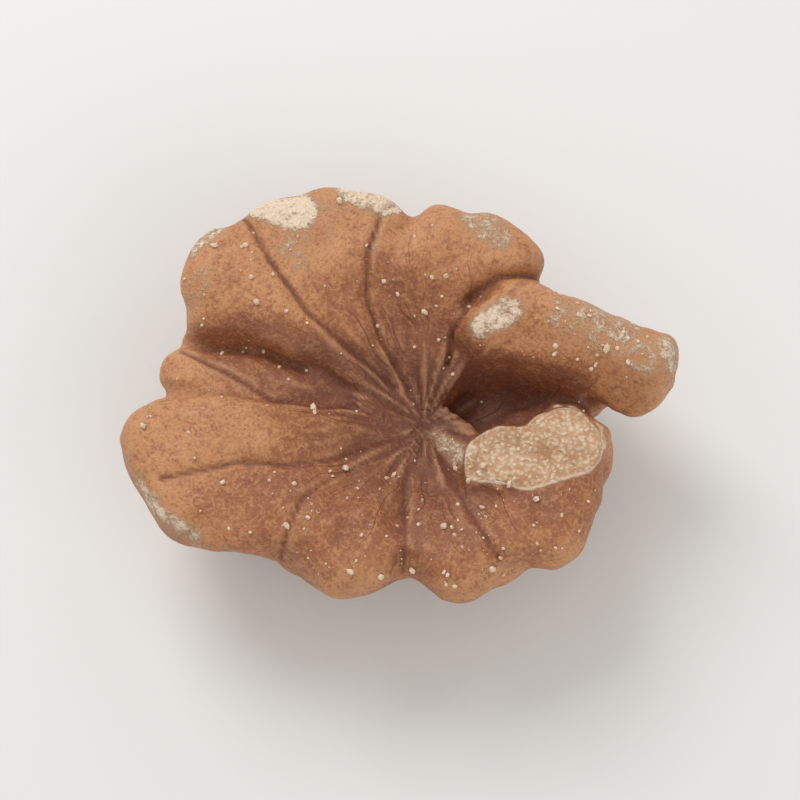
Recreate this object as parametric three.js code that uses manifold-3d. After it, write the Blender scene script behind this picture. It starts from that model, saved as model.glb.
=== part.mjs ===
// Half of a walnut kernel, lying on its domed outer side with the inner face up.
// Units are millimetres and +Z is up. The long way of the half runs along X.
//
// The half is one solid. It is described as a field: a number that is negative inside the
// flesh and positive outside it. Each fold of the kernel is a lobe that runs from the hub out
// to the rim, and the surface lies where the field of all the lobes together crosses zero.

import * as THREE from 'three';
import { mergeVertices } from 'three/addons/utils/BufferGeometryUtils.js';
import Module from 'manifold-3d';

// Driving dimensions
const HUB = { x: 1.3, y: -1.8 };        // where the folds of the inner face meet
const CENTRE = { x: -0.3, y: -0.3 };    // middle of the half, seen from above
const HUB_TOP = 7.2;                    // height of the inner face at the hub
const RIM_TOP = 11.2;                   // height of the inner face near the rim
const BOWL_RADIUS = 10.5;               // distance from the hub over which the face rises
const WIDEST_Z = 8.2;                   // height at which the outline is widest
const DOME_DEPTH = 8.5;                 // how far the domed side would reach below that
const REST_CUT = 0.45;                  // worn off the lowest ribs, so that the half rests flat
const LOBE_BLEND = 0.8;                 // softness where the outlines of two lobes meet
const RIDGE_BLEND = 0.3;                // softness where the tops of two lobes meet
const SIDE_STEEPNESS = 4;               // fall of a lobe's top past its own edge
const CREASE_FLOOR = 0.25;              // least depth of flesh missing in a crease, under the face
const EDGE_ROUND = 1.5;                 // rounding between a lobe's top and its side
const MESH_DETAIL = 17;                 // subdivisions of each edge of the starting icosahedron
const DISC = { x: -0.9, y: -0.3, z: 5, rx: 10.2, ry: 7.8, share: 0.6 };   // flat disc inside the flesh

// Each lobe: how far it stands above the face, how strongly its top is arched as a share of
// its half width, and its centre line from the hub outward as [x, y, half width].
const LOBES = {
  hub: { lift: -0.2, arch: 0.1, line: [[-1, -0.8, 1.4], [0.6, -1.6, 1.9], [2.4, -2.4, 1.6]] },
  upper_wing_left: { lift: 0.2, arch: 0.34,
    line: [[-0.4, 0.2, 1.1], [-3.5, 2.4, 1.6], [-6.1, 3.9, 2.1], [-9.7, 6.2, 3.35]] },
  upper_wing_crown: { lift: 0, arch: 0.28,
    line: [[-0.2, 0.2, 0.8], [-3.4, 4, 1.8], [-5.6, 6.8, 2.5], [-6.8, 8.6, 2.95]] },
  upper_wing_top: { lift: 0.15, arch: 0.28,
    line: [[-0.1, 0.4, 0.8], [-2.6, 4.6, 1.6], [-3.6, 7.5, 2.2], [-4, 9.6, 2.7]] },
  upper_wing_knob: { lift: 0.3, arch: 0.4, line: [[-2, 6.5, 1], [-1.6, 10, 2]] },
  upper_wing_inner: { lift: 0.2, arch: 0.3,
    line: [[0.9, 0, 1], [0.2, 3.6, 2.3], [0.6, 6, 2.8], [1.9, 8.1, 2.95]] },
  upper_wing_right: { lift: 0.2, arch: 0.3,
    line: [[1.6, 0, 1], [2.4, 3.6, 1.9], [3.9, 6.6, 2.6], [5.3, 7.4, 3]] },
  finger: { lift: 1.7, arch: 0.5,
    line: [[4.5, 3.1, 1.4], [6.5, 3.4, 2.1], [9, 2.9, 2.2], [12, 1.75, 2.15], [13.9, 0.7, 1.9]] },
  fold_root: { lift: -1, arch: 0.3, line: [[-0.8, -0.5, 1.4], [-4.5, 0.3, 1.3]] },
  middle_fold: { lift: -2.5, arch: 0.25,
    line: [[-0.5, -0.5, 1.4], [-4.5, 0.4, 2.1], [-8.5, 1.4, 2.5], [-11.7, 2.1, 2.5]] },
  middle_fold_low: { lift: -1.1, arch: 0.5, line: [[-5.5, -0.4, 1.2], [-9.5, 0.2, 1.8], [-12.3, 0.6, 2]] },
  lower_wing_left: { lift: 0.1, arch: 0.16,
    line: [[0.6, -1.9, 1], [-2, -2.6, 1.3], [-5, -3.4, 1.9], [-9, -3.5, 2.3], [-13.3, -3.7, 2.8]] },
  lower_wing_side: { lift: -0.1, arch: 0.16, line: [[-10.5, -5.3, 2], [-12.5, -5.2, 2.85]] },
  lower_wing_edge: { lift: 0, arch: 0.16,
    line: [[0.5, -2.4, 0.8], [-3, -4.6, 1.7], [-6, -6.2, 2.4], [-8.8, -7, 2.8], [-12, -6.9, 2.2]] },
  lower_wing_fill: { lift: 0, arch: 0.16, line: [[-4.6, -6.8, 2], [-6.6, -8.2, 2.4], [-9.4, -7.8, 2.1]] },
  lower_wing_middle: { lift: 0.2, arch: 0.16,
    line: [[0.9, -2.9, 0.8], [-0.9, -5.6, 2.1], [-2.3, -7.8, 2.9], [-2.7, -9, 3.1]] },
  lower_wing_corner: { lift: 0, arch: 0.16, line: [[-3.6, -7.5, 1.8], [-5, -8.9, 2.3]] },
  lower_wing_join: { lift: -0.15, arch: 0.16, line: [[-0.8, -8.5, 2.5], [1.6, -8.5, 2.5]] },
  lower_wing_tip: { lift: 0.2, arch: 0.16,
    line: [[1.3, -2.9, 0.8], [1.5, -5.5, 1.7], [2.2, -7.9, 2.5], [2.9, -9.5, 2.8]] },
  lower_wing_right: { lift: 0, arch: 0.16,
    line: [[1.9, -3, 0.8], [3.9, -5.9, 2.1], [6.4, -8, 2.9], [7.6, -7.8, 3.1]] },
  lower_wing_heel: { lift: -0.1, arch: 0.16, line: [[3.6, -6.5, 1.8], [4.4, -9.2, 2.6], [6.6, -8.4, 2.7]] },
  lower_wing_shoulder: { lift: -0.3, arch: 0.4, line: [[5, -6, 1.8], [8.8, -6.3, 2.6]] },
};

// The stub left where a piece of the fold has broken off: a flat, slightly tilted top
const STUB = { line: [[4.6, -4.6, 1.3], [7, -4.4, 2], [9.5, -3.5, 2.15]], top: 11, flare: 0.2, blend: 0.25,
  middle: { x: 7, y: -4 }, slopeX: 0.12, slopeY: 0.15 };

// Creases between the folds of the inner face: depth, half width and centre line
const CREASES = [
  { depth: 0.55, width: 0.7, line: [[-0.5, 0.2], [-3.2, 2.1], [-5.5, 4], [-7.7, 7.1], [-9.6, 10.5]] },
  { depth: 0.55, width: 0.7, line: [[0.5, 0], [-1.4, 3], [-2.1, 5.2], [-2, 7.6], [-1.2, 10], [0.9, 12]] },
  { depth: 0.85, width: 0.9, line: [[2.6, 1.6], [2.9, 3.2], [4, 5.1], [5.6, 6.1], [8, 6.4]] },
  { depth: 0.35, width: 0.7, line: [[0, -2.8], [-3.7, -4.5], [-6.4, -5.1], [-9.3, -5], [-13.5, -6]] },
  { depth: 0.2, width: 0.7, line: [[0.5, -3], [-4.1, -5.8], [-5.7, -7.2], [-7, -10.5]] },
  { depth: 0.3, width: 0.7, line: [[1.1, -3], [0.15, -5.6], [0.1, -7.5], [0, -12]] },
  { depth: 0.3, width: 0.7, line: [[1.7, -3], [2.4, -4.6], [3.1, -6.3], [4.2, -8.6], [5.4, -10.6]] },
];

// Crease in the sunken fold, which isn't filled at its bottom as the others are
const FOLD_CREASE = { depth: 0.45, width: 0.8,
  line: [[-2.8, -1], [-4.6, -1.4], [-7.5, -1.1], [-9.2, 0], [-12.8, 2.1]] };

// The flesh under the folds, which no crease or furrow cuts through: its half lengths seen
// from above, how far its top lies below the face and where it ends above the bottom
const BED = { x: -1.2, y: -0.3, rx: 12, ry: 9.4, below: 3, bottom: 1.3, rounding: 1.5 };

// The domed side near the bottom: half lengths of the bowl seen from above and its rounding
const UNDERSIDE = { rx: 14.5, ry: 11.5, rounding: 1 };

// Convolutions of the domed side, which fan out from its middle line: how many there are along
// it, the foci of the fan, the depth of the furrows, and the heights over which they fade out
const CONVOLUTION = { ridges: 10, focus: 11, depth: 1.7, full: 5.5, none: 9.5 };

// Furrow along the middle of the domed side
const FURROW = { depth: 1, width: 1.6, y: -0.5 };

function smoothStep(from, to, value) {
  return THREE.MathUtils.smoothstep(value, from, to);
}

// Smaller of two values, rounded over the distance k where they are close
function softMin(a, b, k) {
  const share = THREE.MathUtils.clamp(0.5 + 0.5 * (b - a) / k, 0, 1);
  return b + (a - b) * share - k * share * (1 - share);
}

function softMax(a, b, k) {
  return -softMin(-a, -b, k);
}

// Distance to a centre line, with the half width of the line where it is nearest
function nearestOn(line, x, y) {
  let best = { gap: Infinity, distance: 0, width: 0 };
  for (let i = 1; i < line.length; i += 1) {
    const [ax, ay, aw = 0] = line[i - 1];
    const [bx, by, bw = 0] = line[i];
    const dx = bx - ax;
    const dy = by - ay;
    const along = ((x - ax) * dx + (y - ay) * dy) / (dx * dx + dy * dy);
    const t = THREE.MathUtils.clamp(along, 0, 1);
    const distance = Math.hypot(x - ax - t * dx, y - ay - t * dy);
    const width = aw + t * (bw - aw);
    if (distance - width < best.gap) {
      best = { gap: distance - width, distance, width };
    }
  }
  return best;
}

// Gentle irregularity, so that no fold is quite straight
function wobble(x, y, z) {
  const broad = Math.sin(0.47 * x + 0.5 * z + 1.3) * Math.cos(0.43 * y - 0.35 * z + 0.4);
  return broad + 0.35 * Math.sin(0.93 * y + 0.71 * x + 0.6 * z + 2.1);
}

// Height of the inner face, a shallow bowl that rises from the hub to the rim
function faceTop(x, y) {
  const fromHub = Math.hypot(x - HUB.x, y - HUB.y);
  return HUB_TOP + (RIM_TOP - HUB_TOP) * smoothStep(-1, BOWL_RADIUS, fromHub);
}

// Share of the outline that is left at height z: all of it down to the widest line,
// then less and less along the dome
function domeScale(z) {
  const below = Math.max(WIDEST_Z - z, 0) / DOME_DEPTH;
  return Math.sqrt(Math.max(1 - below * below, 0.07));
}

function stubField(plan, x, y, z, scale) {
  const near = nearestOn(STUB.line, plan.x, plan.y);
  const crest = STUB.top + STUB.slopeX * (x - STUB.middle.x) + STUB.slopeY * (y - STUB.middle.y);
  const gap = near.gap - STUB.flare * (STUB.top - z);
  return softMax(z - crest, gap * scale, STUB.blend);
}

// Distance to the outline of the flesh under the folds, seen from above
function bedOutline(plan) {
  const reach = Math.hypot((plan.x - BED.x) / BED.rx, (plan.y - BED.y) / BED.ry);
  return (reach - 1) * BED.ry;
}

function bedField(inner, top, z, scale) {
  const inside = softMax(z - top + BED.below, inner * scale, BED.rounding);
  return softMax(inside, BED.bottom - z, BED.rounding);
}

// Depth share of a groove with sloping sides, 1 on its line and 0 past its half width
function groove(distance, width) {
  const share = THREE.MathUtils.clamp(1 - distance / width, 0, 1);
  return share * share;
}

// How far one crease lowers the inner face at a place
function creaseDepth(crease, x, y) {
  const near = nearestOn(crease.line, x, y);
  return crease.depth * groove(Math.hypot(near.distance, 0.2), crease.width);
}

// Winding furrows between the convolutions of the domed side
function convolutionCut(x, y, z) {
  const sway = 1.3 * Math.sin(0.62 * x + 0.55 * y + 0.4) * Math.cos(0.5 * z - 0.41 * y);
  const left = Math.hypot(x + sway + CONVOLUTION.focus, y - FURROW.y);
  const right = Math.hypot(x + sway - CONVOLUTION.focus, y - FURROW.y);
  const fan = Math.acos(THREE.MathUtils.clamp((left - right) / (2 * CONVOLUTION.focus), -1, 1));
  const side = 0.9 * Math.tanh(y - FURROW.y);
  const across = 0.75 * Math.abs(y) + 0.55 * z + 0.6 * Math.sin(0.7 * x - 0.5 * z + 1.1);
  const winding = Math.sin(CONVOLUTION.ridges * fan + side)
    + 0.55 * Math.sin(across + 1.7 * Math.sin(3 * fan + side));
  const ridge = (1 - THREE.MathUtils.clamp(Math.abs(winding) / 1.2, 0, 1)) ** 2.2;
  const fade = 1 - smoothStep(CONVOLUTION.full, CONVOLUTION.none, z);
  return CONVOLUTION.depth * ridge * fade;
}

function furrowCut(x, y, z) {
  const across = Math.abs(y - FURROW.y + 0.7 * Math.sin(0.35 * x + 0.6));
  return FURROW.depth * groove(across, FURROW.width) * (1 - smoothStep(2.5, 4.5, z));
}

// Height of the inner face's folds and distance to their joint outline, seen from above
function folds(plan, creased, filled, fromHub, inner) {
  let crest = creased - CREASE_FLOOR - 6 * (1 - filled);
  let outline = inner;
  for (const lobe of Object.values(LOBES)) {
    const near = nearestOn(lobe.line, plan.x, plan.y);
    const across = Math.min(near.distance / near.width, 1);
    const arch = lobe.arch * near.width * across * across * (0.5 + 0.35 * across);
    const fall = arch + SIDE_STEEPNESS * Math.max(near.gap, 0);
    crest = softMax(crest, creased + lobe.lift * smoothStep(1.5, 6, fromHub) - fall, RIDGE_BLEND);
    outline = softMin(outline, near.gap, LOBE_BLEND);
  }
  return { crest, outline };
}

// The domed side: the outline shrinks downwards, and a bowl closes it at the bottom
function sideField(outline, x, y, z, scale) {
  const reach = Math.hypot((x - CENTRE.x) / UNDERSIDE.rx, (y - CENTRE.y) / UNDERSIDE.ry);
  const lowest = WIDEST_Z - DOME_DEPTH * Math.sqrt(Math.max(1 - reach * reach, 0.02));
  return softMax(outline * scale, 0.8 * (lowest - z), UNDERSIDE.rounding);
}

// Negative inside the flesh, zero on the skin
function fleshField(x, y, z) {
  const wx = x + 0.35 * wobble(x, y, z);
  const wy = y + 0.35 * wobble(y + 7.1, z - 3.3, x + 1.9);
  const scale = domeScale(z);
  const plan = { x: CENTRE.x + (wx - CENTRE.x) / scale, y: CENTRE.y + (wy - CENTRE.y) / scale };
  const fromHub = Math.hypot(wx - HUB.x, wy - HUB.y);
  const top = faceTop(wx, wy);
  const between = Math.max(...CREASES.map((crease) => creaseDepth(crease, x, y)));
  const dent = Math.max(between, creaseDepth(FOLD_CREASE, x, y));
  const creased = top - dent * smoothStep(0.5, 3.5, fromHub);
  const inner = bedOutline(plan);
  const { crest, outline } = folds(plan, creased, smoothStep(0, 0.12, between), fromHub, inner);
  const side = sideField(outline, wx, wy, z, scale) + convolutionCut(x, y, z) + furrowCut(x, y, z);
  let field = softMax(0.8 * (z - crest), side, EDGE_ROUND);
  field = softMin(field, stubField(plan, wx, wy, z, scale), LOBE_BLEND);
  return softMin(field, bedField(inner, top, z, scale), LOBE_BLEND);
}

// Ray from inside the flesh through one vertex of the starting sphere. Rays near the top and the
// bottom rise or drop from a flat disc in the middle, and those near the rim fan out from its edge.
function rayThrough(vertex) {
  const quarter = Math.PI / 2;
  const fromPole = Math.acos(Math.abs(vertex.z)) / quarter;
  const around = Math.atan2(vertex.y, vertex.x);
  const out = Math.min(fromPole / DISC.share, 1);
  const tilt = quarter * Math.max(fromPole - DISC.share, 0) / (1 - DISC.share);
  const outward = new THREE.Vector2(Math.cos(around) / DISC.rx, Math.sin(around) / DISC.ry).normalize();
  return {
    origin: new THREE.Vector3(DISC.x + DISC.rx * out * Math.cos(around),
      DISC.y + DISC.ry * out * Math.sin(around), DISC.z),
    direction: new THREE.Vector3(outward.x * Math.sin(tilt), outward.y * Math.sin(tilt),
      Math.sign(vertex.z) * Math.cos(tilt)),
  };
}

// Where a ray leaves the flesh for the last time
function skinPoint(ray) {
  const stride = 0.25;
  const point = new THREE.Vector3();
  const fieldAt = (reach) => {
    point.copy(ray.direction).multiplyScalar(reach).add(ray.origin);
    return fleshField(point.x, point.y, point.z);
  };
  let outside = 12;
  while (outside > stride && fieldAt(outside - stride) > 0) {
    outside -= stride;
  }
  let inside = outside - stride;
  for (let i = 0; i < 10; i += 1) {
    const half = (inside + outside) / 2;
    if (fieldAt(half) > 0) {
      outside = half;
    } else {
      inside = half;
    }
  }
  return point.copy(ray.direction).multiplyScalar(inside).add(ray.origin);
}

// A closed mesh of the flesh: every vertex of a fine sphere is moved out to the skin
function fleshGeometry() {
  const sphere = new THREE.IcosahedronGeometry(1, MESH_DETAIL);
  sphere.deleteAttribute('normal');
  sphere.deleteAttribute('uv');
  const geometry = mergeVertices(sphere, 1e-4);
  const position = geometry.attributes.position;
  const vertex = new THREE.Vector3();
  for (let i = 0; i < position.count; i += 1) {
    vertex.fromBufferAttribute(position, i);
    const skin = skinPoint(rayThrough(vertex));
    position.setXYZ(i, skin.x, skin.y, skin.z);
  }
  return geometry;
}

function toSolid(wasm, geometry) {
  const mesh = new wasm.Mesh({ numProp: 3,
    vertProperties: new Float32Array(geometry.attributes.position.array),
    triVerts: new Uint32Array(geometry.index.array) });
  return new wasm.Manifold(mesh);
}

function toGeometry(solid) {
  const mesh = solid.getMesh();
  const geometry = new THREE.BufferGeometry();
  geometry.setAttribute('position', new THREE.BufferAttribute(mesh.vertProperties, 3));
  geometry.setIndex(new THREE.BufferAttribute(mesh.triVerts, 1));
  return geometry;
}

// Box that takes off everything below the resting plane
function restCutter() {
  const size = 60;
  const box = new THREE.BoxGeometry(size, size, size);
  box.deleteAttribute('normal');
  box.deleteAttribute('uv');
  box.translate(0, 0, REST_CUT - size / 2);
  return mergeVertices(box);
}

function kernelHalf(wasm) {
  const whole = toSolid(wasm, fleshGeometry());
  const geometry = toGeometry(whole.subtract(toSolid(wasm, restCutter())));
  geometry.computeBoundingBox();
  const box = geometry.boundingBox;
  geometry.translate(-(box.min.x + box.max.x) / 2, -(box.min.y + box.max.y) / 2, -box.min.z);
  geometry.computeVertexNormals();
  const skin = new THREE.MeshStandardMaterial({ color: 0xa8703c, roughness: 0.6, metalness: 0 });
  const mesh = new THREE.Mesh(geometry, skin);
  mesh.name = 'walnut_half';
  return mesh;
}

const wasm = await Module();
wasm.setup();
const group = new THREE.Group();
group.add(kernelHalf(wasm));

export default group;
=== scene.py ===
"""Half of a shelled walnut kernel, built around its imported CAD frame.

The flesh is described in millimetres as a field that is negative inside and positive outside,
meshed where it crosses zero, fitted to the CAD node's box and finished with fine relief.
"""
import math

import bmesh
import bpy
import numpy as np
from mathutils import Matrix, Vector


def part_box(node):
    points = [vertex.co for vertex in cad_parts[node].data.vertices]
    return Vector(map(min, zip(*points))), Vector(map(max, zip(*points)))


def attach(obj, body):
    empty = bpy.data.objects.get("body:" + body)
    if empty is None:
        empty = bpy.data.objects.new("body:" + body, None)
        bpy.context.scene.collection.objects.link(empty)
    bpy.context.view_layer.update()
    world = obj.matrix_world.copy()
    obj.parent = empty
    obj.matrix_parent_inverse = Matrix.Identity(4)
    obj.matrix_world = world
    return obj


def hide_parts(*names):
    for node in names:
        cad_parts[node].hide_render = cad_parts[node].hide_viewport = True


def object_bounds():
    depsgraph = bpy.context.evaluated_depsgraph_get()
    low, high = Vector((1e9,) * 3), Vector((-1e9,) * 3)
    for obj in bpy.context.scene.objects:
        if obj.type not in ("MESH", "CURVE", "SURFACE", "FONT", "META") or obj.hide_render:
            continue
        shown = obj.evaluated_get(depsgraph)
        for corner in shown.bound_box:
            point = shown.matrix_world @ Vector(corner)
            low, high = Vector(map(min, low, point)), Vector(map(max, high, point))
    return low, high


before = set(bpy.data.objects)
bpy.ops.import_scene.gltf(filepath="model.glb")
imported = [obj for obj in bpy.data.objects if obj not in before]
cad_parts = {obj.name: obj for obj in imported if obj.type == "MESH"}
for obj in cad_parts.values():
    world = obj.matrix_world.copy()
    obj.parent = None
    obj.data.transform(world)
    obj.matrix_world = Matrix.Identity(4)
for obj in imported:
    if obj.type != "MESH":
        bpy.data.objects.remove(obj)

import openvdb
from bpy.props import FloatProperty, FloatVectorProperty, IntProperty, PointerProperty
from mathutils import Matrix, Vector

CAD_LOW, CAD_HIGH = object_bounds()
NODE = "walnut_half"
SLOT = "kernel_skin"
PIECE = "walnut_kernel_half"
CRUMBS = "kernel_crumbs"
MM = 0.001

bl_info = {
    "name": "Walnut kernel half",
    "version": (1, 0, 0),
    "blender": (4, 5, 0),
    "location": "View3D > Sidebar > Walnut",
    "description": "Builds half of a walnut kernel and the stage it lies on",
    "category": "Add Mesh",
}

# Form of the kernel, in millimetres, as the CAD part has it
HUB = (1.3, -1.8)      # where the folds of the inner face meet
CENTRE = (-0.3, -0.3)  # middle of the half, seen from above
HUB_TOP = 7.2          # height of the inner face at the hub
RIM_TOP = 11.2         # height of the inner face near the rim
BOWL_RADIUS = 10.5     # distance from the hub over which the face rises
WIDEST_Z = 8.2         # height at which the outline is widest
DOME_DEPTH = 8.5       # how far the domed side would reach below that
REST_CUT = 0.45        # worn off the lowest ribs, so that the half rests flat
LOBE_BLEND = 0.8       # softness where the outlines of two lobes meet
RIDGE_BLEND = 0.3      # softness where the tops of two lobes meet
SIDE_STEEPNESS = 4     # fall of a lobe's top past its own edge
EDGE_ROUND = 1.5       # rounding between a lobe's top and its side
CREASE_FLOOR = 0.25    # least depth of flesh missing in a crease, under the face
FLOOR_DROP = 6         # how far that floor drops where there is no crease
WANDER = 0.35          # how far a slow sway bends the lobes

# Unevenness that the CAD part doesn't have
FRILL = 0.3            # height of the lumps on the side
DRIFT = 0.28           # how far noise shifts the skin

# Lobes: lift above the face, arch as a share of the half width, centre line (x, y, half width)
LOBES = {
    "hub": (-0.2, 0.1, [(-1, -0.8, 1.4), (0.6, -1.6, 1.9), (2.4, -2.4, 1.6)]),
    "upper_wing_left": (0.2, 0.34, [(-0.4, 0.2, 1.1), (-3.5, 2.4, 1.6), (-6.1, 3.9, 2.1),
                                    (-9.7, 6.2, 3.35)]),
    "upper_wing_crown": (0, 0.28, [(-0.2, 0.2, 0.8), (-3.4, 4, 1.8), (-5.6, 6.8, 2.5), (-6.8, 8.6, 2.95)]),
    "upper_wing_top": (0.15, 0.28, [(-0.1, 0.4, 0.8), (-2.6, 4.6, 1.6), (-3.6, 7.5, 2.2), (-4, 9.6, 2.7)]),
    "upper_wing_knob": (0.3, 0.4, [(-2, 6.5, 1), (-1.6, 10, 2)]),
    "upper_wing_inner": (0.2, 0.3, [(0.9, 0, 1), (0.2, 3.6, 2.3), (0.6, 6, 2.8), (1.9, 8.1, 2.95)]),
    "upper_wing_right": (0.2, 0.3, [(1.6, 0, 1), (2.4, 3.6, 1.9), (3.9, 6.6, 2.6), (5.3, 7.4, 3)]),
    "finger": (1.7, 0.5, [(4.5, 3.1, 1.4), (6.5, 3.4, 2.1), (9, 2.9, 2.2), (12, 1.75, 2.15),
                          (13.9, 0.7, 1.9)]),
    "fold_root": (-1, 0.3, [(-0.8, -0.5, 1.4), (-4.5, 0.3, 1.3)]),
    "middle_fold": (-2.5, 0.25, [(-0.5, -0.5, 1.4), (-4.5, 0.4, 2.1), (-8.5, 1.4, 2.5), (-11.7, 2.1, 2.5)]),
    "middle_fold_low": (-1.1, 0.5, [(-5.5, -0.4, 1.2), (-9.5, 0.2, 1.8), (-12.3, 0.6, 2)]),
    "lower_wing_left": (0.1, 0.16, [(0.6, -1.9, 1), (-2, -2.6, 1.3), (-5, -3.4, 1.9),
                                    (-9, -3.5, 2.3), (-13.3, -3.7, 2.8)]),
    "lower_wing_side": (-0.1, 0.16, [(-10.5, -5.3, 2), (-12.5, -5.2, 2.85)]),
    "lower_wing_edge": (0, 0.16, [(0.5, -2.4, 0.8), (-3, -4.6, 1.7), (-6, -6.2, 2.4),
                                  (-8.8, -7, 2.8), (-12, -6.9, 2.2)]),
    "lower_wing_fill": (0, 0.16, [(-4.6, -6.8, 2), (-6.6, -8.2, 2.4), (-9.4, -7.8, 2.1)]),
    "lower_wing_middle": (0.2, 0.16, [(0.9, -2.9, 0.8), (-0.9, -5.6, 2.1), (-2.3, -7.8, 2.9),
                                      (-2.7, -9, 3.1)]),
    "lower_wing_corner": (0, 0.16, [(-3.6, -7.5, 1.8), (-5, -8.9, 2.3)]),
    "lower_wing_join": (-0.15, 0.16, [(-0.8, -8.5, 2.5), (1.6, -8.5, 2.5)]),
    "lower_wing_tip": (0.2, 0.16, [(1.3, -2.9, 0.8), (1.5, -5.5, 1.7), (2.2, -7.9, 2.5), (2.9, -9.5, 2.8)]),
    "lower_wing_right": (0, 0.16, [(1.9, -3, 0.8), (3.9, -5.9, 2.1), (6.4, -8, 2.9), (7.6, -7.8, 3.1)]),
    "lower_wing_heel": (-0.1, 0.16, [(3.6, -6.5, 1.8), (4.4, -9.2, 2.6), (6.6, -8.4, 2.7)]),
    "lower_wing_shoulder": (-0.3, 0.4, [(5, -6, 1.8), (8.8, -6.3, 2.6)]),
}

# The stub of a fold that has snapped off: centre line with half widths, height and tilt of its top
STUB_LINE = [(4.6, -4.6, 1.3), (7, -4.4, 2), (9.5, -3.5, 2.15)]
STUB_TOP = 11
STUB_FLARE = 0.2
STUB_MIDDLE = (7, -4)
STUB_SLOPE = (0.12, 0.15)

# Creases of the inner face: depth, half width and centre line
CREASES = [
    (0.55, 0.7, [(-0.5, 0.2), (-3.2, 2.1), (-5.5, 4), (-7.7, 7.1), (-9.6, 10.5)]),
    (0.55, 0.7, [(0.5, 0), (-1.4, 3), (-2.1, 5.2), (-2, 7.6), (-1.2, 10), (0.9, 12)]),
    (0.85, 0.9, [(2.6, 1.6), (2.9, 3.2), (4, 5.1), (5.6, 6.1), (8, 6.4)]),
    (0.35, 0.7, [(0, -2.8), (-3.7, -4.5), (-6.4, -5.1), (-9.3, -5), (-13.5, -6)]),
    (0.2, 0.7, [(0.5, -3), (-4.1, -5.8), (-5.7, -7.2), (-7, -10.5)]),
    (0.3, 0.7, [(1.1, -3), (0.15, -5.6), (0.1, -7.5), (0, -12)]),
    (0.3, 0.7, [(1.7, -3), (2.4, -4.6), (3.1, -6.3), (4.2, -8.6), (5.4, -10.6)]),
]
# Crease in the sunken fold, which isn't filled at its bottom as the others are
FOLD_CREASE = (0.45, 0.8, [(-2.8, -1), (-4.6, -1.4), (-7.5, -1.1), (-9.2, 0), (-12.8, 2.1)])

# Stretches where the skin is rubbed off the flesh: strength and centre line with half widths
RUBBED = [
    (1, [(-8.4, 10.7, 0.8), (-6.3, 10.2, 1.3)]),
    (0.5, [(-6.5, 7.8, 0.7), (-5.9, 6.8, 0.5)]),
    (0.95, [(-2.9, 11.5, 0.9), (-1, 10.9, 1)]),
    (0.62, [(4.3, 9.6, 0.9), (5.6, 8.4, 0.8)]),
    (0.75, [(-12.6, 7.8, 0.6), (-11, 9.4, 0.7)]),
    (0.4, [(-12.3, 4.8, 0.8), (-11.6, 6.2, 0.5)]),
    (0.95, [(4.5, 3, 0.5), (5.9, 3.7, 0.8)]),
    (0.62, [(10.6, 3.1, 0.9), (12.6, 2.5, 1)]),
    (0.75, [(14.9, 1.5, 0.6), (15.2, 0.5, 0.5)]),
    (0.9, [(-15, -6, 0.15), (-13.6, -7.9, 0.25), (-11.6, -9.2, 0.2)]),
    (0.75, [(2, -2.6, 0.3), (3.6, -4.1, 0.6)]),
    (0.5, [(9.5, 3.2, 1.2), (14, 1, 1.2)]),
    (0.3, [(-5.6, 8.6, 1.4), (-4.2, 10.6, 1)]),
]

# Stretches of painted shade, darker than their distance from the hub makes them, or of painted light,
# lighter
# where the share is below 0: share, margin and centre line with half widths
SHADED = [
    (-0.6, 0.5, [(4.5, 3.2, 1), (6.5, 3.3, 1.7), (9, 2.8, 1.8), (13.9, 0.7, 1.8)]),
    (0.7, 0.7, [(2.6, 0.2, 1.1), (6, -0.2, 1.4), (9.6, -1, 1.2)]),
    (0.5, 1.2, [(-1, -0.4, 1.2), (-5, 0.6, 1.7), (-8.8, 1.7, 1.6), (-11, 2.8, 0.8)]),
    (0.25, 2.5, [(9, -6.5, 2), (3, -8, 2.5), (-8, -7.5, 2)]),
]
# Distance from the hub at which the painted shade of the deep hub has faded to the rim colour
HUB_SHADE_RADIUS = 10.5
# Where crumbs collect: weight, middle and radius
CRUMB_SPOTS = [(2.2, -4, -9, 3), (2, 3, -9.5, 3.5), (2, 8, -8, 3), (4, 12, 2, 2.8), (1.5, 3, -4, 2),
               (1.2, -11, 7, 3), (1.2, 3, 3.5, 3), (1, -6, -6, 4)]

# The flesh under the folds, which no crease or furrow cuts through
BED = {"x": -1.2, "y": -0.3, "rx": 12, "ry": 9.4, "below": 3, "bottom": 1.3, "rounding": 1.5}
# The domed side near the bottom, its convolutions and the furrow along its middle
UNDERSIDE = {"rx": 14.5, "ry": 11.5, "rounding": 1}
CONVOLUTION = {"ridges": 10, "focus": 11, "depth": 1.7, "full": 5.5, "none": 9.5}
FURROW = {"depth": 1, "width": 1.6, "y": -0.5}

# Half the thickness below which a sliver of flesh is taken off
THIN = 0.3
# The block of space that the skin is meshed in
GRID_LOW = (-18.4, -15.2, -0.8)
GRID_HIGH = (18.4, 15.2, 14.4)

# Fine lines at the bottom of the creases: how deep and how wide they are carved, and the
# width of the line of painted shade that lies in them
CARVED_DEPTH = 0.28
CARVED_WIDTH = 0.36
CREASE_SHADE_WIDTH = 0.13


def smooth_step(low, high, value):
    """0 at low and 1 at high, smooth between them. With low above high it falls."""
    share = np.clip((value - low) / (high - low), 0, 1)
    return share * share * (3 - 2 * share)


def soft_min(a, b, k):
    """The lower of two values, rounded off where they are less than k apart."""
    share = np.clip(0.5 + 0.5 * (b - a) / k, 0, 1)
    return b + (a - b) * share - k * share * (1 - share)


def soft_max(a, b, k):
    """The higher of two values, rounded off where they are less than k apart."""
    return -soft_min(-a, -b, k)


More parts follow.
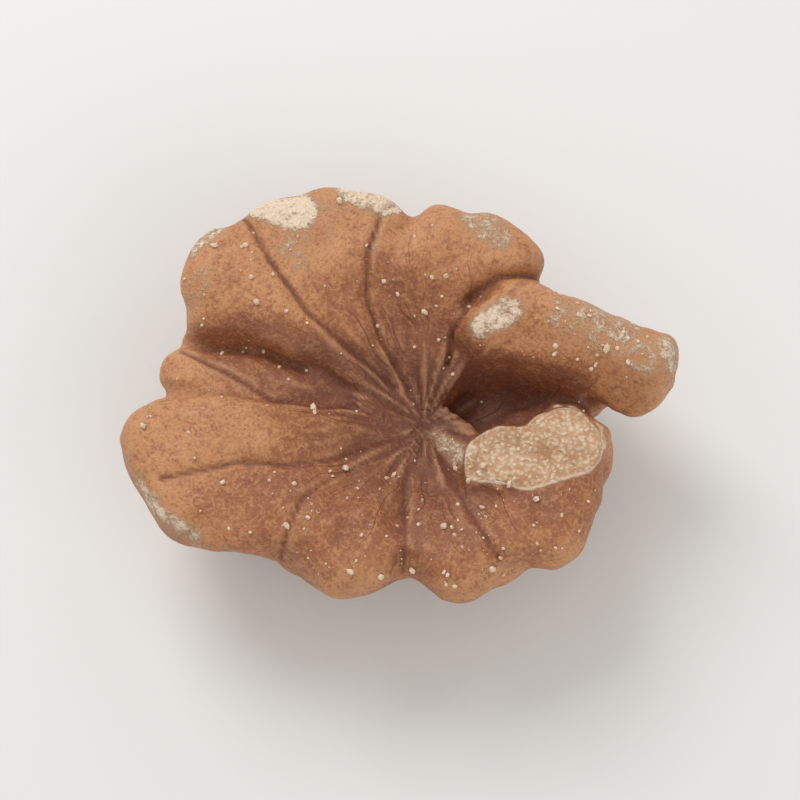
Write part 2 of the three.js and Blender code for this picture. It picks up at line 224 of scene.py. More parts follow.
def nearest_on(line, x, y):
    """Gap to a centre line's edge, distance to the line and its half width there."""
    gap = None
    for start, end in zip(line, line[1:]):
        dx, dy = end[0] - start[0], end[1] - start[1]
        along = np.clip(((x - start[0]) * dx + (y - start[1]) * dy) / (dx * dx + dy * dy), 0, 1)
        away = np.hypot(x - start[0] - along * dx, y - start[1] - along * dy)
        wide = start[2] + along * (end[2] - start[2]) if len(start) > 2 else 0 * along
        if gap is None:
            gap, distance, width = away - wide, away, wide
        else:
            closer = away - wide < gap
            gap = np.where(closer, away - wide, gap)
            distance = np.where(closer, away, distance)
            width = np.where(closer, wide, width)
    return gap, distance, width


def lattice_noise(points, size, seed):
    """Smooth noise from -1 to 1 whose lumps are about size across."""
    cells = 32
    table = np.random.default_rng(seed).uniform(-1, 1, cells ** 3)
    place = points.T / size
    low = np.floor(place).astype(int)
    share = place - low
    share = share * share * (3 - 2 * share)
    x, y, z = ([n % cells, (n + 1) % cells] for n in low)
    sides = []
    for i in range(2):
        rows = []
        for j in range(2):
            first = table[(x[i] * cells + y[j]) * cells + z[0]]
            second = table[(x[i] * cells + y[j]) * cells + z[1]]
            rows.append(first + (second - first) * share[2])
        sides.append(rows[0] + (rows[1] - rows[0]) * share[1])
    return sides[0] + (sides[1] - sides[0]) * share[0]


def layered_noise(points, size, seed, layers=3):
    """Noise in layers, each half the size and half the height of the one before."""
    return sum(lattice_noise(points, size / 2 ** n, seed + n) / 2 ** n for n in range(layers))


def groove(distance, width):
    """1 on a groove's line, falling to 0 at width from it."""
    share = np.clip(1 - distance / width, 0, 1)
    return share * share


def wobble(x, y, z):
    """A slow sway of about -1.3 to 1.3 that keeps the lobes from looking drawn."""
    broad = np.sin(0.47 * x + 0.5 * z + 1.3) * np.cos(0.43 * y - 0.35 * z + 0.4)
    return broad + 0.35 * np.sin(0.93 * y + 0.71 * x + 0.6 * z + 2.1)


def face_top(x, y):
    """Height of the inner face without its lobes: a bowl whose lowest point is the hub."""
    from_hub = np.hypot(x - HUB[0], y - HUB[1])
    return HUB_TOP + (RIM_TOP - HUB_TOP) * smooth_step(-1, BOWL_RADIUS, from_hub)


def winding(x, y, z, points):
    """Crosses zero along the furrows of the domed side, which fan outward from its middle line."""
    focus = CONVOLUTION["focus"]
    sway = 1.9 * layered_noise(points, 5.5, 91, 2)
    tilt = np.hypot(x + sway + focus, y - FURROW["y"]) - np.hypot(x + sway - focus, y - FURROW["y"])
    fan = np.arccos(np.clip(tilt / (2 * focus), -1, 1))
    side = 0.9 * np.tanh(y - FURROW["y"])
    across = 0.75 * np.abs(y) + 0.55 * z + 1.2 * lattice_noise(points, 4.5, 95)
    return np.sin(CONVOLUTION["ridges"] * fan + side) + 0.55 * np.sin(across + 1.7 * np.sin(3 * fan + side))


def round_ridges(value):
    """1 in the furrow where value is 0, falling to 0 over the rounded back of a ridge."""
    return (1 - np.clip(np.abs(value) / 1.2, 0, 1)) ** 2.2


def flesh_field(points):
    """Negative inside the flesh, zero on the skin. points is (n, 3) in millimetres."""
    drift = np.stack([layered_noise(points, 3.2, seed, 2) for seed in (11, 21, 31)], axis=1)
    x, y, z = (points + DRIFT * drift).T
    wx = x + WANDER * wobble(x, y, z)
    wy = y + WANDER * wobble(y + 7.1, z - 3.3, x + 1.9)
    below = np.maximum(WIDEST_Z - z, 0) / DOME_DEPTH
    scale = np.sqrt(np.maximum(1 - below * below, 0.07))
    px = CENTRE[0] + (wx - CENTRE[0]) / scale
    py = CENTRE[1] + (wy - CENTRE[1]) / scale
    from_hub = np.hypot(wx - HUB[0], wy - HUB[1])
    dent = 0
    for depth, width, line in CREASES:
        distance = nearest_on(line, x, y)[1]
        dent = np.maximum(dent, depth * groove(np.hypot(distance, 0.2), width))
    top = face_top(wx, wy)
    creased = top - dent * smooth_step(0.5, 3.5, from_hub)
    reach = np.hypot((px - BED["x"]) / BED["rx"], (py - BED["y"]) / BED["ry"])
    inner = (reach - 1) * BED["ry"]
    between = smooth_step(0, 0.12, dent)
    depth, width, line = FOLD_CREASE
    dent = np.maximum(dent, depth * groove(np.hypot(nearest_on(line, x, y)[1], 0.2), width))
    crest = creased - CREASE_FLOOR - FLOOR_DROP * (1 - between)
    outline = inner
    for lift, arch, line in LOBES.values():
        gap, distance, width = nearest_on(line, px, py)
        across = np.minimum(distance / width, 1)
        fall = arch * width * across * across * (0.5 + 0.35 * across)
        fall = fall + SIDE_STEEPNESS * np.maximum(gap, 0)
        crest = soft_max(crest, creased + lift * smooth_step(1.5, 6, from_hub) - fall, RIDGE_BLEND)
        outline = soft_min(outline, gap, LOBE_BLEND)
    fade = 1 - smooth_step(CONVOLUTION["full"], CONVOLUTION["none"], z)
    plan = np.hypot((wx - CENTRE[0]) / UNDERSIDE["rx"], (wy - CENTRE[1]) / UNDERSIDE["ry"])
    lowest = WIDEST_Z - DOME_DEPTH * np.sqrt(np.maximum(1 - plan * plan, 0.02))
    side = soft_max(outline * scale, 0.8 * (lowest - z), UNDERSIDE["rounding"])
    side = side + CONVOLUTION["depth"] * round_ridges(winding(x, y, z, points)) * fade
    across = np.abs(y - FURROW["y"] + 0.7 * np.sin(0.35 * x + 0.6))
    side = side + FURROW["depth"] * groove(across, FURROW["width"]) * (1 - smooth_step(2.5, 4.5, z))
    side = side + FRILL * layered_noise(points, 2.2, 61, 2)
    field = soft_max(0.8 * (z - crest), side, EDGE_ROUND)
    gap = nearest_on(STUB_LINE, px, py)[0] - STUB_FLARE * (STUB_TOP - z)
    gap = gap + 0.5 * layered_noise(points, 2.2, 151)
    broken = STUB_TOP + STUB_SLOPE[0] * (wx - STUB_MIDDLE[0]) + STUB_SLOPE[1] * (wy - STUB_MIDDLE[1])
    field = soft_min(field, soft_max(z - broken, gap * scale, 0.25), LOBE_BLEND)
    bed = soft_max(z - top + BED["below"], inner * scale, BED["rounding"])
    bed = soft_max(bed, BED["bottom"] - z, BED["rounding"])
    field = soft_min(field, bed, LOBE_BLEND)
    return soft_max(field, REST_CUT - points[:, 2], 0.15)


def field_grid(voxel):
    """The field on a regular grid. Only points near the skin are worked out finely."""
    coarse = 4
    low, high = np.array(GRID_LOW), np.array(GRID_HIGH)
    blocks = np.ceil((high - low) / (voxel * coarse)).astype(int)
    middles = np.indices(blocks).reshape(3, -1).T * coarse + (coarse - 1) / 2
    rough = flesh_field(low + middles * voxel).reshape(blocks)
    near = np.abs(rough) < 1.9
    fine = rough
    wanted = near
    for axis in range(3):
        fine = np.repeat(fine, coarse, axis)
        wanted = np.repeat(wanted, coarse, axis)
    grid = np.clip(fine, -3, 3).astype(np.float32)
    places = np.argwhere(wanted)
    grid[wanted] = flesh_field(low + places * voxel).astype(np.float32)
    return grid


def facing_out(points, quads):
    """The quads, turned over if they face into the flesh."""
    a, b, c, d = (points[quads[:, n]] for n in range(4))
    volume = np.einsum("ij,ij->", np.cross(c - a, d - b), a)
    return quads if volume > 0 else quads[:, ::-1]


def meshed(voxel):
    """Vertices in millimetres and quads of the skin, its largest connected part only. Slivers
    thinner than twice THIN go, as the flesh is first shrunk by that much and then grown back."""
    volume = openvdb.FloatGrid(3.0)
    volume.copyFromArray(field_grid(voxel))
    points, triangles, quads = volume.convertToPolygons(isovalue=0.0, adaptivity=0.0)
    for offset in (-THIN, THIN):
        distance = openvdb.FloatGrid.createLevelSetFromPolygons(
            points, quads=quads, transform=openvdb.createLinearTransform(1.0), halfWidth=THIN / voxel + 3)
        points, triangles, quads = distance.convertToPolygons(isovalue=offset / voxel, adaptivity=0.0)
    points = points * voxel + np.array(GRID_LOW)
    quads = quads.astype(int)
    label = np.arange(len(points))
    ends = np.concatenate([quads[:, [0, 1]], quads[:, [1, 2]], quads[:, [2, 3]], quads[:, [3, 0]]])
    while True:
        least = np.minimum(label[ends[:, 0]], label[ends[:, 1]])
        new = label.copy()
        np.minimum.at(new, ends[:, 0], least)
        np.minimum.at(new, ends[:, 1], least)
        new = new[new]
        if (new == label).all():
            break
        label = new
    main = np.bincount(label).argmax()
    kept = label == main
    number = np.cumsum(kept) - 1
    return points[kept], facing_out(points[kept], number[quads[kept[quads[:, 0]]]])


def smoothed(points, quads, turns, share=0.5):
    """Rows of values, one for each vertex, drawn towards those of their neighbours a number of times."""
    starts = quads.ravel()
    ends = np.roll(quads, -1, axis=1).ravel()
    count = np.bincount(starts, minlength=len(points))[:, None]
    for _ in range(turns):
        total = np.stack([np.bincount(starts, column[ends], len(points)) for column in points.T], axis=1)
        points = points + share * (total / count - points)
    return points


def vertex_normals(points, quads):
    """Unit normals, each from the quads around its vertex, weighted by their area."""
    a, b, c, d = (points[quads[:, n]] for n in range(4))
    face = np.cross(c - a, d - b)
    normal = np.zeros_like(points)
    for axis in range(3):
        for corner in range(4):
            normal[:, axis] += np.bincount(quads[:, corner], face[:, axis], len(points))
    return normal / np.linalg.norm(normal, axis=1, keepdims=True)


def pulled(points, quads, turns):
    """How far smoothing lifts each point off the skin: above 0 in hollows, below 0 on ridges."""
    return np.einsum("ij,ij->i", smoothed(points, quads, turns) - points, vertex_normals(points, quads))


def eased(points, quads):
    """Opens clefts that are folded too sharply for the mesh, and leaves the rest as it is."""
    cleft = smooth_step(0.02, 0.07, np.abs(pulled(points, quads, 3)))[:, None]
    cleft = np.clip(1.6 * smoothed(cleft, quads, 6), 0, 1)
    for _ in range(10):
        points = points + cleft * (smoothed(points, quads, 1) - points)
    return points


def broken_face(points, normal):
    """1 on the stub's broken top, 0 elsewhere."""
    x, y, z = points.T
    gap = nearest_on(STUB_LINE, x, y)[0]
    return smooth_step(0.3, -0.15, gap) * smooth_step(9.2, 10, z) * smooth_step(0.35, 0.75, normal[:, 2])


def relief(points, quads, settings):
    """Fine relief: soft dents all over, wrinkles that run out from the hub and a fine grain."""
    points = smoothed(eased(points, quads), quads, 2)
    normal = vertex_normals(points, quads)
    x, y, z = points.T
    away = np.hypot(x - HUB[0], y - HUB[1])
    turn = np.arctan2(y - HUB[1], x - HUB[0])
    fan = np.stack([np.cos(turn) * 9, np.sin(turn) * 9, 0.35 * away + 0.2 * z], axis=1)
    fan = fan + 0.35 * np.stack([lattice_noise(points, 2.5, seed) for seed in (41, 42, 43)], axis=1)
    on_face = smooth_step(0.1, 0.6, normal[:, 2]) * (1 - smooth_step(6, 13, away))
    height = settings.dent_height / MM * layered_noise(points, 2.6, 51, 2)
    height = height + settings.wrinkle_height / MM * layered_noise(fan, 1.1, 71, 2) * on_face
    height = height + 0.035 * layered_noise(points, 1.3, 171, 1)
    height = height + settings.grain_height / MM * layered_noise(points, 0.7, 81, 2)
    for depth, _, line in (*CREASES, FOLD_CREASE):
        near = nearest_on(line, x, y)[1]
        carved = CARVED_DEPTH * min(depth + 0.3, 1) * groove(near, CARVED_WIDTH)
        height = height - carved * smooth_step(0.2, 0.5, normal[:, 2])
    rugged = broken_face(points, normal) * (0.26 * layered_noise(points, 1.5, 141, 3) - 0.1)
    height = (height + rugged) * smooth_step(0, 0.3, z - REST_CUT)
    return points + height[:, None] * normal


def patch(line, x, y, margin):
    """1 on the stretch that a centre line with half widths covers, 0 beyond margin outside it."""
    return smooth_step(margin, -0.3, nearest_on(line, x, y)[0])


def skin_masks(points, quads):
    """What the finish needs to know about each vertex, as named rows of numbers from 0 to 1."""
    x, y, z = points.T
    normal = vertex_normals(points, quads)
    face = smooth_step(-0.1, 0.4, normal[:, 2]) * smooth_step(4, 6, z)
    # Painted shade: the skin is darkened towards the deep hub and lightens out to the rim, with some random
    # unevenness
    away = np.hypot(x - HUB[0], y - HUB[1]) + 0.9 * layered_noise(points, 3, 101, 2)
    painted_light_tone = np.clip(away / HUB_SHADE_RADIUS, 0, 1)
    # Painted shade in the trough under the finger, the sunken middle fold and the lower wing; painted light
    # on the finger
    for share, margin, line in SHADED:
        painted_light_tone = np.minimum(painted_light_tone * (1 - share * patch(line, x, y, margin)), 1)
    # hollow_shade: how deeply a vertex lies in a hollow; it paints shade into the colour
    hollow_shade = np.zeros(len(points))
    raised = np.zeros(len(points))
    for turns, reach in ((4, 0.05), (16, 0.16), (60, 0.5)):
        pull = pulled(points, quads, turns)
        hollow_shade = np.maximum(hollow_shade, smooth_step(0.15, 1, pull / reach))
        raised = np.maximum(raised, smooth_step(0.2, 1, -pull / reach))
    # On the domed side the painted light tone is painted shade, darker in the hollows of the convolutions,
    # with random unevenness
    outer = 0.82 - 0.5 * smoothed(hollow_shade[:, None], quads, 3)[:, 0] + 0.1 * layered_noise(points, 4, 111, 2)
    painted_light_tone = face * painted_light_tone + (1 - face) * outer
    crease_shade = np.zeros(len(points))
    faint = np.clip(0.8 + 0.6 * layered_noise(points, 1.6, 181, 2), 0.2, 1)
    # A line of painted shade along the bottom of each crease, fainter at random
    for depth, _, line in (*CREASES, FOLD_CREASE):
        near = nearest_on(line, x, y)[1]
        dark = min(depth + 0.35, 1) * np.exp(-(near / CREASE_SHADE_WIDTH) ** 2)
        crease_shade = np.maximum(crease_shade, dark * face * faint)
    rubbed = np.zeros(len(points))
    for strength, line in RUBBED:
        rubbed = np.maximum(rubbed, strength * patch(line, x, y, 0.6))
    at_rim = smooth_step(8.6, 10.4, z) * smooth_step(7, 11, away)
    rubbed = np.maximum(rubbed, 0.5 * smoothed(raised[:, None], quads, 2)[:, 0] * at_rim)
    rubbed = rubbed * smooth_step(0, 0.4, normal[:, 2] + 0.15 * layered_noise(points, 1.2, 161, 2))
    broken = broken_face(points, normal)
    return {"painted_light_tone": painted_light_tone, "hollow_shade": hollow_shade, "raised": raised, "crease_shade": crease_shade, "rubbed": rubbed,
            "broken": broken, "face": face}


def fitted(points):
    """Millimetres on the meshed skin to metres in the CAD node's own box."""
    low, high = points.min(axis=0), points.max(axis=0)
    box_low, box_high = (np.array(corner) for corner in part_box(NODE))
    return box_low + (points - low) / (high - low) * (box_high - box_low)


def new_piece(name, points, faces, smooth=True):
    """An object of that name, in the scene."""
    mesh = bpy.data.meshes.new(name)
    mesh.from_pydata(points.tolist(), [], faces.tolist())
    mesh.polygons.foreach_set("use_smooth", [smooth] * len(mesh.polygons))
    mesh.update()
    piece = bpy.data.objects.new(name, mesh)
    bpy.context.scene.collection.objects.link(piece)
    return piece


# Materials

def add_node(tree, kind, **inputs):
    """A node of that kind with input values set by name, where an underscore stands for a space."""
    node = tree.nodes.new("ShaderNode" + kind)
    for name, value in inputs.items():
        plug(tree, value, node.inputs[name.replace("_", " ")])
    return node


def plug(tree, value, socket):
    """Links a socket to another, or sets its plain value."""
    if isinstance(value, bpy.types.NodeSocket):
        tree.links.new(value, socket)
    else:
        socket.default_value = value


def maths(tree, operation, a, b=0.0, c=0.0, clamp=False):
    node = tree.nodes.new("ShaderNodeMath")
    node.operation = operation
    node.use_clamp = clamp
    for socket, value in zip(node.inputs, (a, b, c)):
        plug(tree, value, socket)
    return node.outputs["Value"]


def vector_maths(tree, operation, a, b=(0, 0, 0), scale=None):
    node = tree.nodes.new("ShaderNodeVectorMath")
    node.operation = operation
    plug(tree, a, node.inputs[0])
    plug(tree, b, node.inputs[1])
    if scale is not None:
        plug(tree, scale, node.inputs["Scale"])
    return node.outputs["Vector"]


def blend(tree, share, a, b):
    """Colour a where share is 0, b where it is 1."""
    node = tree.nodes.new("ShaderNodeMix")
    node.data_type = "RGBA"
    plug(tree, share, node.inputs["Factor"])
    for name, value in (("A", a), ("B", b)):
        socket = next(s for s in node.inputs if s.name == name and s.type == "RGBA")
        plug(tree, value if isinstance(value, bpy.types.NodeSocket) else (*value, 1), socket)
    return next(s for s in node.outputs if s.type == "RGBA")


def step(tree, value, low, high):
    """0 below low and 1 above high, smooth between them. With low above high it falls."""
    node = tree.nodes.new("ShaderNodeMapRange")
    node.interpolation_type = "SMOOTHSTEP"
    swap = low > high
    plug(tree, value, node.inputs["Value"])
    plug(tree, min(low, high), node.inputs["From Min"])
    plug(tree, max(low, high), node.inputs["From Max"])
    plug(tree, 1.0 if swap else 0.0, node.inputs["To Min"])
    plug(tree, 0.0 if swap else 1.0, node.inputs["To Max"])
    return node.outputs["Result"]


def noise(tree, place, size, detail=2.0, rough=0.5):
    """Noise from 0 to 1 with lumps about size millimetres across."""
    node = add_node(tree, "TexNoise", Vector=place, Scale=1 / size, Detail=detail, Roughness=rough)
    return node.outputs["Fac"]


def mask(tree, name):
    """A row of numbers that skin_masks gave the mesh."""
    node = tree.nodes.new("ShaderNodeAttribute")
    node.attribute_name = name
    return node.outputs["Fac"]


def ramp(tree, share, stops):
    """The colour at that share along the stops."""
    node = tree.nodes.new("ShaderNodeValToRGB")
    node.color_ramp.interpolation = "B_SPLINE"
    elements = node.color_ramp.elements
    while len(elements) < len(stops):
        elements.new(0.5)
    for element, (place, colour) in zip(elements, stops):
        element.position = place
        element.color = (*colour, 1)
    plug(tree, share, node.inputs["Fac"])
    return node.outputs["Color"]


def millimetres(tree):
    """The place on the piece, in millimetres."""
    place = tree.nodes.new("ShaderNodeTexCoord").outputs["Object"]
    return vector_maths(tree, "SCALE", place, scale=1 / MM)


def bare_flesh(colours):
    """Group for broken kernel flesh: cream granules in oily, browner gaps."""
    name = "Bare flesh"
    if name in bpy.data.node_groups:
        return bpy.data.node_groups[name]
    tree = bpy.data.node_groups.new(name, "ShaderNodeTree")
    tree.interface.new_socket("Place", in_out="INPUT", socket_type="NodeSocketVector")
    tree.interface.new_socket("Colour", in_out="OUTPUT", socket_type="NodeSocketColor")
    tree.interface.new_socket("Roughness", in_out="OUTPUT", socket_type="NodeSocketFloat")
    tree.interface.new_socket("Height", in_out="OUTPUT", socket_type="NodeSocketFloat")
    place = tree.nodes.new("NodeGroupInput").outputs["Place"]
    end = tree.nodes.new("NodeGroupOutput")
    warp = add_node(tree, "TexNoise", Vector=place, Scale=1.6, Detail=1.0).outputs["Color"]
    bent = vector_maths(tree, "ADD", place, vector_maths(tree, "SCALE", warp, scale=0.5))
    cells = add_node(tree, "TexVoronoi", Vector=bent, Scale=3.8)
    cells.feature = "SMOOTH_F1"
    cells.inputs["Smoothness"].default_value = 0.4
    granule = step(tree, cells.outputs["Distance"], 0.75, 0.1)
    fine = noise(tree, place, 0.16, 3.0, 0.65)
    cloud = noise(tree, place, 1.7, 2.0)
    light = maths(tree, "MULTIPLY_ADD", granule, 0.45, maths(tree, "MULTIPLY", fine, 0.4))
    light = maths(tree, "ADD", light, maths(tree, "MULTIPLY_ADD", cloud, 0.7, -0.3), clamp=True)
    stops = ((0.1, colours.flesh_gap), (0.5, colours.flesh), (0.9, colours.flesh_pale))
    plug(tree, ramp(tree, light, stops), end.inputs["Colour"])
    plug(tree, maths(tree, "MULTIPLY_ADD", fine, 0.25, 0.5), end.inputs["Roughness"])
    height = maths(tree, "MULTIPLY_ADD", cloud, 0.12, maths(tree, "MULTIPLY", granule, 0.06))
    plug(tree, maths(tree, "MULTIPLY_ADD", fine, 0.09, height), end.inputs["Height"])
    return tree


def flesh_node(tree, colours, place):
    """The outputs of the bare flesh group, placed in a material's tree."""
    node = tree.nodes.new("ShaderNodeGroup")
    node.node_tree = bare_flesh(colours)
    plug(tree, place, node.inputs["Place"])
    return node.outputs


def new_material(name):
    """A material's tree and its shader."""
    material = bpy.data.materials.new(name)
    material.use_nodes = True
    return material, material.node_tree, material.node_tree.nodes["Principled BSDF"]


def vein_lines(tree, place, spread, seed, width):
    """Thin wandering lines that run out from the hub, 1 on the line."""
    flat = vector_maths(tree, "MULTIPLY", vector_maths(tree, "SUBTRACT", place, (*HUB, 0)), (1, 1, 0))
    sway = add_node(tree, "TexNoise", Vector=place, Scale=0.3, Detail=1.0).outputs["Color"]
    sway = vector_maths(tree, "SCALE", vector_maths(tree, "SUBTRACT", sway, (0.5, 0.5, 0.5)), scale=2.4)
    flat = vector_maths(tree, "ADD", flat, vector_maths(tree, "MULTIPLY", sway, (1, 1, 0)))
    length = tree.nodes.new("ShaderNodeVectorMath")
    length.operation = "LENGTH"
    plug(tree, flat, length.inputs[0])
    away = length.outputs["Value"]
    turn = vector_maths(tree, "SCALE", vector_maths(tree, "NORMALIZE", flat), scale=spread)
    lift = tree.nodes.new("ShaderNodeCombineXYZ")
    plug(tree, maths(tree, "MULTIPLY_ADD", away, 0.06, seed), lift.inputs["Z"])
    fan = noise(tree, vector_maths(tree, "ADD", turn, lift.outputs["Vector"]), 1, 0.6)
    from_line = maths(tree, "MULTIPLY", maths(tree, "ABSOLUTE", maths(tree, "SUBTRACT", fan, 0.5)), away)
    fading = maths(tree, "MULTIPLY_ADD", step(tree, away, 6, 12), -0.75, 1.0)
    return maths(tree, "MULTIPLY", step(tree, from_line, width, 0.2 * width), fading)


def kernel_skin(colours):
    """Material of the kernel: mottled skin with veins, painted shade towards the hub, in hollows and along
    creases, and flesh where it is bare.
    """
    material, tree, shader = new_material(SLOT)
    place = millimetres(tree)
    painted_light_tone, hollow_shade, raised = mask(tree, "painted_light_tone"), mask(tree, "hollow_shade"), mask(tree, "raised")
    face, rubbed = mask(tree, "face"), mask(tree, "rubbed")
    broad, mottle = noise(tree, place, 2.6, 3.0), noise(tree, place, 0.6, 3.0, 0.6)
    freckle = noise(tree, place, 0.2, 3.0, 0.65)

    # The colours from hub to rim are steps of painted shade: darkest at the deep hub, lightest at the rim,
    # with random unevenness
    lit = maths(tree, "ADD", painted_light_tone, maths(tree, "MULTIPLY_ADD", broad, 0.7, -0.35), clamp=True)
    stops = ((0, colours.hub), (0.3, colours.hub_rim), (0.6, colours.face), (0.85, colours.lobe),
             (1, colours.rim))
    colour = ramp(tree, lit, stops)
    uneven = maths(tree, "MULTIPLY_ADD", freckle, 0.6, maths(tree, "MULTIPLY", mottle, 0.4))
    # The golden mottle is sparser where the painted shade is darker
    sparser = maths(tree, "MULTIPLY_ADD", painted_light_tone, 0.55, 0.1)
    lighter = maths(tree, "MULTIPLY", step(tree, uneven, 0.48, 0.62), sparser)
    colour = blend(tree, lighter, colour, colours.golden)
    colour = blend(tree, maths(tree, "MULTIPLY", step(tree, uneven, 0.52, 0.34), 0.7), colour, colours.umber)
    colour = blend(tree, maths(tree, "MULTIPLY", raised, 0.5), colour, colours.ridge)

    veins = vein_lines(tree, place, 5.0, 3.0, 0.085)
    fine_veins = maths(tree, "MULTIPLY", vein_lines(tree, place, 12.0, 9.0, 0.06), 0.6)
    veins = maths(tree, "MULTIPLY", maths(tree, "MAXIMUM", veins, fine_veins), face)
    veins = maths(tree, "MULTIPLY", veins, step(tree, broad, 0.35, 0.6))
    colour = blend(tree, maths(tree, "MULTIPLY", veins, 0.6), colour, colours.vein_and_shade)
    # Painted shade in the hollows, in the vein colour
    colour = blend(tree, maths(tree, "MULTIPLY", hollow_shade, 0.5), colour, colours.vein_and_shade)
    # Painted shade along the bottom of the creases
    colour = blend(tree, maths(tree, "MULTIPLY", mask(tree, "crease_shade"), 0.8), colour, colours.crease_shade)

    halo = maths(tree, "MULTIPLY_ADD", mottle, 1.2, 0.1)
    halo = maths(tree, "MULTIPLY", step(tree, rubbed, 0.05, 0.7), halo)
    colour = blend(tree, maths(tree, "MULTIPLY", halo, 0.85, clamp=True), colour, colours.ridge)
    flesh = flesh_node(tree, colours, place)
    edge = maths(tree, "ADD", rubbed, maths(tree, "MULTIPLY", raised, 0.2))
    patchy = maths(tree, "MULTIPLY_ADD", mottle, 1.5, maths(tree, "MULTIPLY_ADD", freckle, 1.2, -1.33))
    worn = maths(tree, "MULTIPLY", step(tree, maths(tree, "ADD", edge, patchy), 0.4, 0.95), 0.92)
    jagged = add_node(tree, "TexNoise", Vector=place, Scale=4, Detail=2.0).outputs["Color"]
    jagged = vector_maths(tree, "ADD", place, vector_maths(tree, "SCALE", jagged, scale=0.45))
    dots = add_node(tree, "TexVoronoi", Vector=jagged, Scale=0.95)
    chosen = step(tree, dots.outputs["Color"], 0.5, 1.0)
    flecks = step(tree, maths(tree, "MULTIPLY_ADD", chosen, -0.17, dots.outputs["Distance"]), 0.02, -0.05)
    broken = mask(tree, "broken")
    bare = maths(tree, "MAXIMUM", maths(tree, "MAXIMUM", broken, worn), flecks)
    colour = blend(tree, bare, colour, flesh["Colour"])
    lip = maths(tree, "MULTIPLY", step(tree, broken, 0.15, 0.45), step(tree, broken, 0.9, 0.6))
    palest = maths(tree, "MULTIPLY", maths(tree, "MULTIPLY_ADD", rubbed, 0.5, 0.5), worn)
    palest = maths(tree, "MAXIMUM", maths(tree, "MULTIPLY", lip, 0.75), palest)
    colour = blend(tree, maths(tree, "MULTIPLY", palest, 0.75), colour, colours.flesh_pale)
    plug(tree, colour, shader.inputs["Base Color"])

    gloss = maths(tree, "MULTIPLY_ADD", mottle, 0.22, 0.36)
    gloss = maths(tree, "MULTIPLY_ADD", hollow_shade, 0.15, gloss)
    rough = tree.nodes.new("ShaderNodeMix")
    plug(tree, bare, rough.inputs["Factor"])
    plug(tree, gloss, rough.inputs["A"])
    plug(tree, flesh["Roughness"], rough.inputs["B"])
    plug(tree, rough.outputs["Result"], shader.inputs["Roughness"])

    height = maths(tree, "MULTIPLY", mottle, 0.1)
    height = maths(tree, "MULTIPLY_ADD", freckle, 0.08, height)
    height = maths(tree, "MULTIPLY_ADD", veins, -0.03, height)
    height = maths(tree, "MULTIPLY_ADD", bare, flesh["Height"], height)
    bump = add_node(tree, "Bump", Strength=1.0, Distance=MM, Height=height)
    plug(tree, bump.outputs["Normal"], shader.inputs["Normal"])
    shader.inputs["Specular IOR Level"].default_value = 0.35
    shader.inputs["Subsurface Weight"].default_value = 0.1
    shader.inputs["Subsurface Radius"].default_value = (0.8, 0.5, 0.35)
    shader.inputs["Subsurface Scale"].default_value = 0.6 * MM
    return material


def crumb_flesh(colours):
    """Material of the crumbs, paler than the flesh they broke off."""
    material, tree, shader = new_material("crumb_flesh")
    place = millimetres(tree)
    flesh = flesh_node(tree, colours, place)
    lighter = blend(tree, 0.55, flesh["Colour"], colours.flesh_pale)
    plug(tree, lighter, shader.inputs["Base Color"])
    plug(tree, flesh["Roughness"], shader.inputs["Roughness"])
    bump = add_node(tree, "Bump", Strength=0.7, Distance=MM, Height=flesh["Height"])
    plug(tree, bump.outputs["Normal"], shader.inputs["Normal"])
    shader.inputs["Specular IOR Level"].default_value = 0.3
    return material


def matt_floor(colour):
    """Material of the floor, very slightly clouded."""
    material, tree, shader = new_material("matt_floor")
    place = millimetres(tree)
    cloud = noise(tree, place, 40, 2.0)
    shade = blend(tree, maths(tree, "MULTIPLY", cloud, 0.06), tuple(colour), (0.6, 0.6, 0.6))
    plug(tree, shade, shader.inputs["Base Color"])
    shader.inputs["Roughness"].default_value = 0.75
    shader.inputs["Specular IOR Level"].default_value = 0.2
    return material


# Settings, operators and panel

def colour_setting(name, description, default):
    """A colour for a user to change."""
    return FloatVectorProperty(name=name, description=description, default=default, subtype="COLOR",
                               min=0, max=1)


class KernelSettings(bpy.types.PropertyGroup):
    mesh_step: FloatProperty(name="Mesh step", description="Spacing of the grid that the skin is meshed on",
                             default=0.2 * MM, min=0.1 * MM, max=1 * MM, unit="LENGTH")
    dent_height: FloatProperty(name="Dents", description="Height of the soft dents all over",
                               default=0.07 * MM, min=0, unit="LENGTH")
    wrinkle_height: FloatProperty(name="Wrinkles", description="Height of the wrinkles that leave the hub",
                                  default=0.16 * MM, min=0, unit="LENGTH")
    grain_height: FloatProperty(name="Grain", description="Height of the fine grain of the skin",
                                default=0.025 * MM, min=0, unit="LENGTH")
    crumb_count: IntProperty(name="Crumbs", description="Number of flesh crumbs on the skin",
                             default=300, min=0)
    crumb_size: FloatProperty(name="Crumb size", description="Usual radius of a crumb",
                              default=0.085 * MM, min=0.02 * MM, unit="LENGTH")


